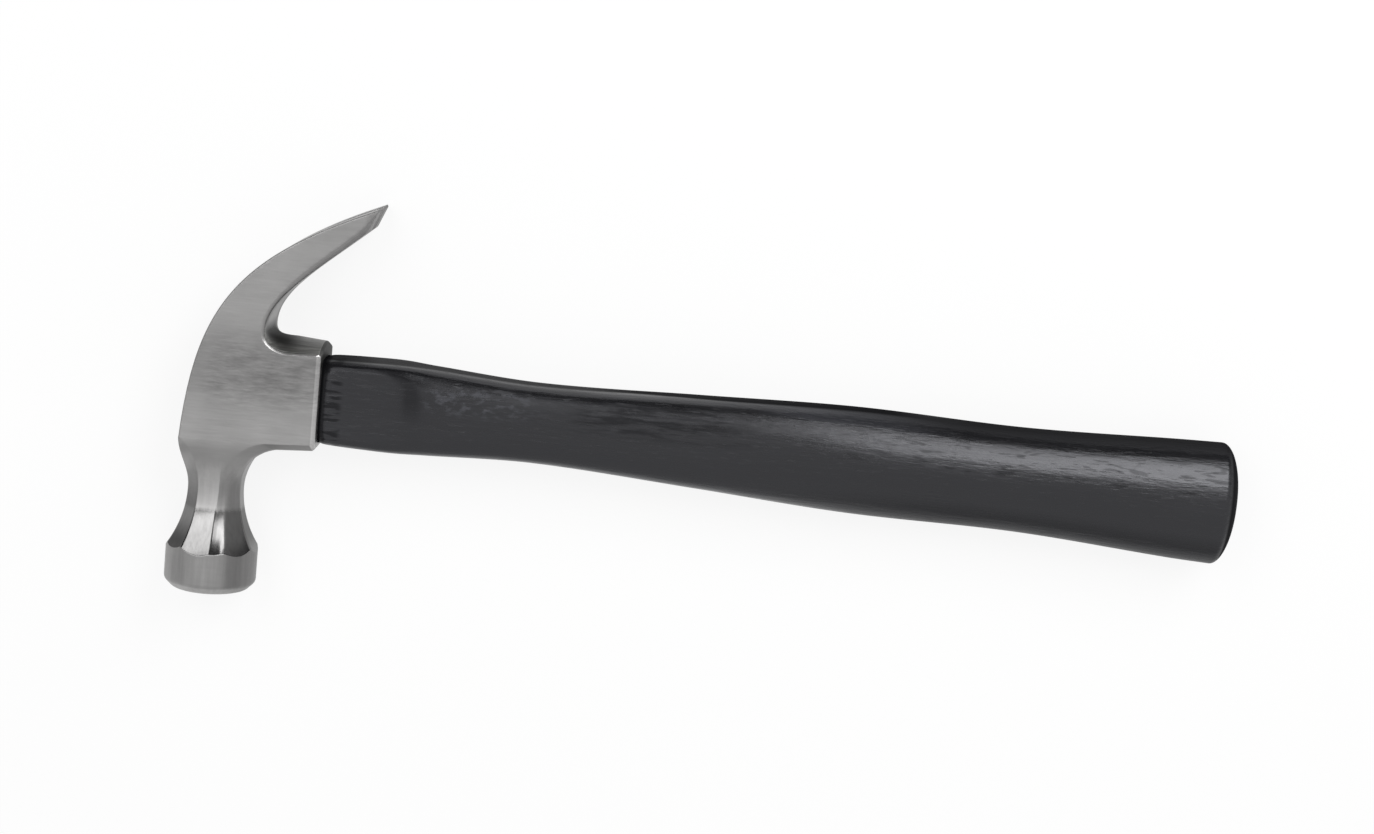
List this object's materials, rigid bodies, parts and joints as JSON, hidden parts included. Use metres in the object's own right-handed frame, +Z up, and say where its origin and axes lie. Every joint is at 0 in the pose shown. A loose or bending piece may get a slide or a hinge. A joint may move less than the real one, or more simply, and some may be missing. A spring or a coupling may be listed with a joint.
{
  "type": "curved claw hammer",
  "caption": "Curved claw hammer with a forged steel head, octagonal neck, round poll and split claw, wedged on a black painted wooden handle.",
  "frame": {"origin": "centre of the bottom of the hammer's box, as it lies on its side", "axes": "+X from the head to the butt along the handle, +Y from the striking face to the claw, +Z up out of the upper cheek"},
  "size_m": [0.3324, 0.1244, 0.0285],
  "materials": {
    "forged_steel": "ground satin cheeks and poll, polished flare, darker forged hollow of the claw",
    "black_painted_wood": "black satin paint with open wood grain showing through",
    "wedge_wood": "bare end grain",
    "wedge_steel": "plain bright steel, lightly dulled"
  },
  "bodies": {
    "root": {"hammer_head": "forged_steel", "handle": "black_painted_wood", "wood_wedge": "wedge_wood", "steel_wedge_claw_side": "wedge_steel", "steel_wedge_poll_side": "wedge_steel"}
  },
  "joints": []
}
